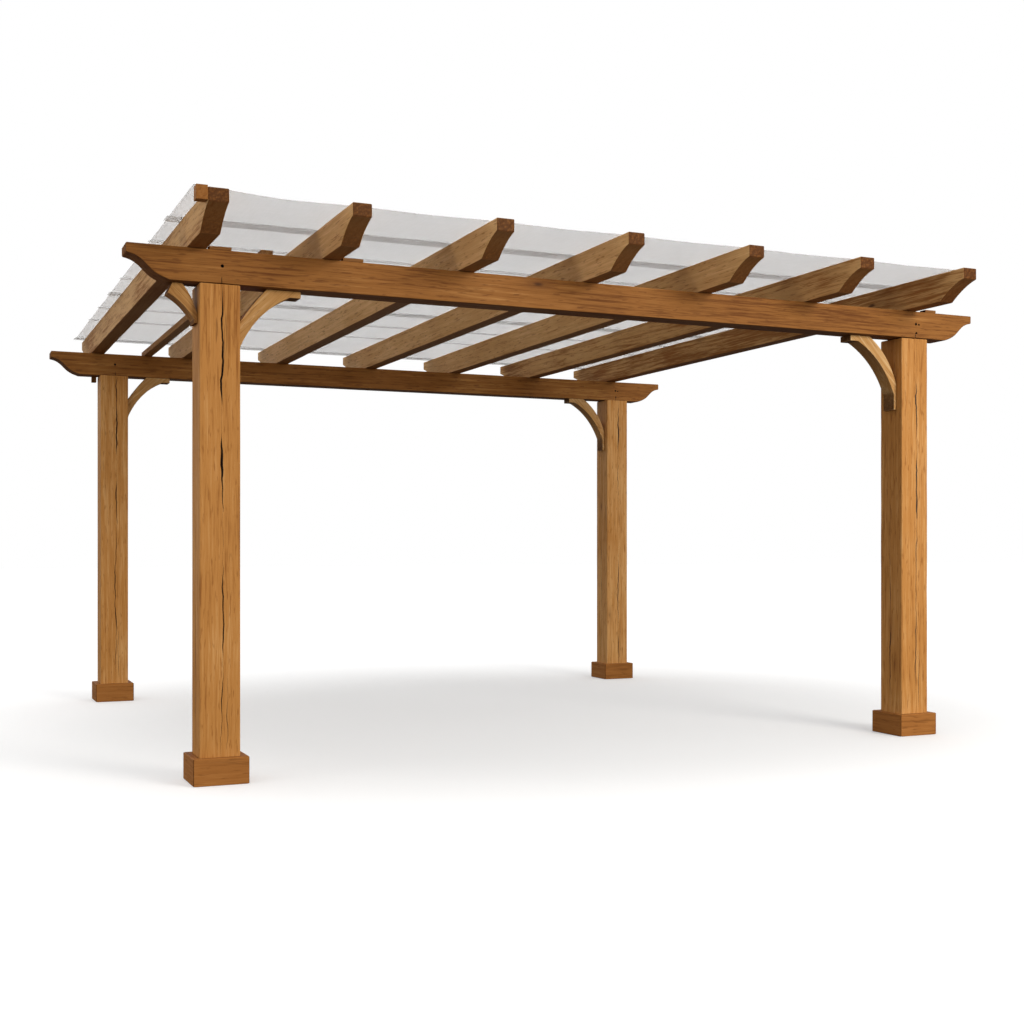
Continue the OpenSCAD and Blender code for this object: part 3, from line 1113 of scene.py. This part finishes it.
@dataclass
class Pergola:
    """The whole part: its timbers and its canopy."""

    post_tones: tuple[float, ...] = (-0.1, 0.35, 0.75, 1.4)
    brace_tones: tuple[float, ...] = (-0.15, 1.0, 0.3, 0.6)
    bracket_tone: float = -1.3
    rafter_tones: tuple[float, ...] = (-0.6, 0.25, 1.2, 0.7, 0.3, -0.6, -1.4)
    other_tones: float = 0.8
    band_count: int = 8
    bolt_shift: float = 0.01

    def timbers(self) -> list[Timber]:
        """Every timber with its finish, its grain and its splits, in building order."""
        tones = (self.other_tones * ((k * GOLDEN) % 1) - self.other_tones / 2 for k in count(1))
        made: list[Timber] = []
        for corner, tone in zip(CORNERS, self.post_tones):
            made.append(Timber("post_" + corner, POST_STAIN, Grain.ALONG_Z, tone, arris=0.006,
                               cuts=self.post_splits(corner)))
            made.append(Plinth("plinth_" + corner, PLINTH_STAIN, Grain.ALONG_X, next(tones), arris=0.004))
        for place in ("front", "rear"):
            made.append(Timber("beam_" + place, BEAM_STAIN, Grain.ALONG_X, next(tones),
                               cuts=self.beam_cuts(place)))
        for k, tone in enumerate(self.rafter_tones, 1):
            made.append(Timber(f"rafter_{k}", RAFTER_STAIN, Grain.ALONG_Y, tone))
        for corner, tone in zip(CORNERS, self.brace_tones):
            rising = Grain.RISING_RIGHT if corner.endswith("left") else Grain.RISING_LEFT
            made.append(SmallTimber("brace_" + corner, BRACE_STAIN, rising, tone))
        made.append(SmallTimber("side_brace", BRACE_STAIN, Grain.RISING_LEFT, self.bracket_tone))
        for node, finish, grain in (
                ("side_rail", RAIL_STAIN, Grain.ALONG_Y),
                ("rafter_cleats", TRIM_STAIN, Grain.ALONG_X),
                ("canopy_corner_block", CORNER_STAIN, Grain.ALONG_Y),
                ("rear_peg", TRIM_STAIN, Grain.ALONG_Z)):
            made.append(SmallTimber(node, finish, grain, next(tones), arris=0.002))
        return made

    def post_splits(self, corner: str) -> tuple[Split, ...]:
        """The drying splits of a post: a broken one down the middle of its front and finer ones round it."""
        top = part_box("post_" + corner)[1].z
        return (
            Split(Side.FRONT, 0.012, top - 0.62, top + 0.01, 0.011, 0.035),
            Split(Side.FRONT, 0.014, top - 1.06, top - 0.60, 0.013, 0.035),
            Split(Side.FRONT, 0.010, 0.10, top - 1.03, 0.0062, 0.02),
            Split(Side.FRONT, 0.030, 0.16, 0.50, 0.0022, 0.012),
            Split(Side.LEFT, -0.008, 0.16, 1.25, 0.006, 0.02),
            Split(Side.RIGHT, 0.015, 0.5, 1.7, 0.0045, 0.025),
            Split(Side.REAR, -0.01, 0.7, 2.1, 0.0045, 0.028),
        )

    def beam_cuts(self, place: str) -> tuple[Split | BoltHole, ...]:
        """The sunk bolts in the front of a beam over its posts, with the splits that run down from them."""
        cuts: list[Split | BoltHole] = []
        for side in ("left", "right"):
            low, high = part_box(f"post_{place}_{side}")
            middle, top = (low.x + high.x) / 2 + self.bolt_shift, high.z
            cuts += [BoltHole(middle, top + 0.082, radius=0.0085),
                     Split(Side.FRONT, middle, top - 0.01, top + 0.034, width=0.004)]
            if side == "right":
                cuts += [BoltHole(middle + 0.022, top + 0.080, radius=0.006),
                         BoltHole(middle + 0.004, top + 0.03, radius=0.0065)]
        return tuple(cuts)

    def build(self) -> None:
        """Build and report every piece."""
        for piece in self.pieces():
            log.info("%s: %d faces", piece.name, len(piece.data.polygons))

    def pieces(self) -> Iterator[bpy.types.Object]:
        """Build the timbers and then the canopy, one piece after another."""
        for timber in self.timbers():
            yield timber.build()
        rafters = tuple(f"rafter_{k}" for k in range(1, len(self.rafter_tones) + 1))
        bands = tuple(f"canopy_batten_{k}" for k in range(1, self.band_count + 1))
        yield from Canopy(rafters, bands).build()


def main() -> None:
    logging.basicConfig(level=logging.INFO, format="%(name)s: %(message)s")
    Pergola().build()
    Studio().build()


if __name__ == "__main__":
    main()
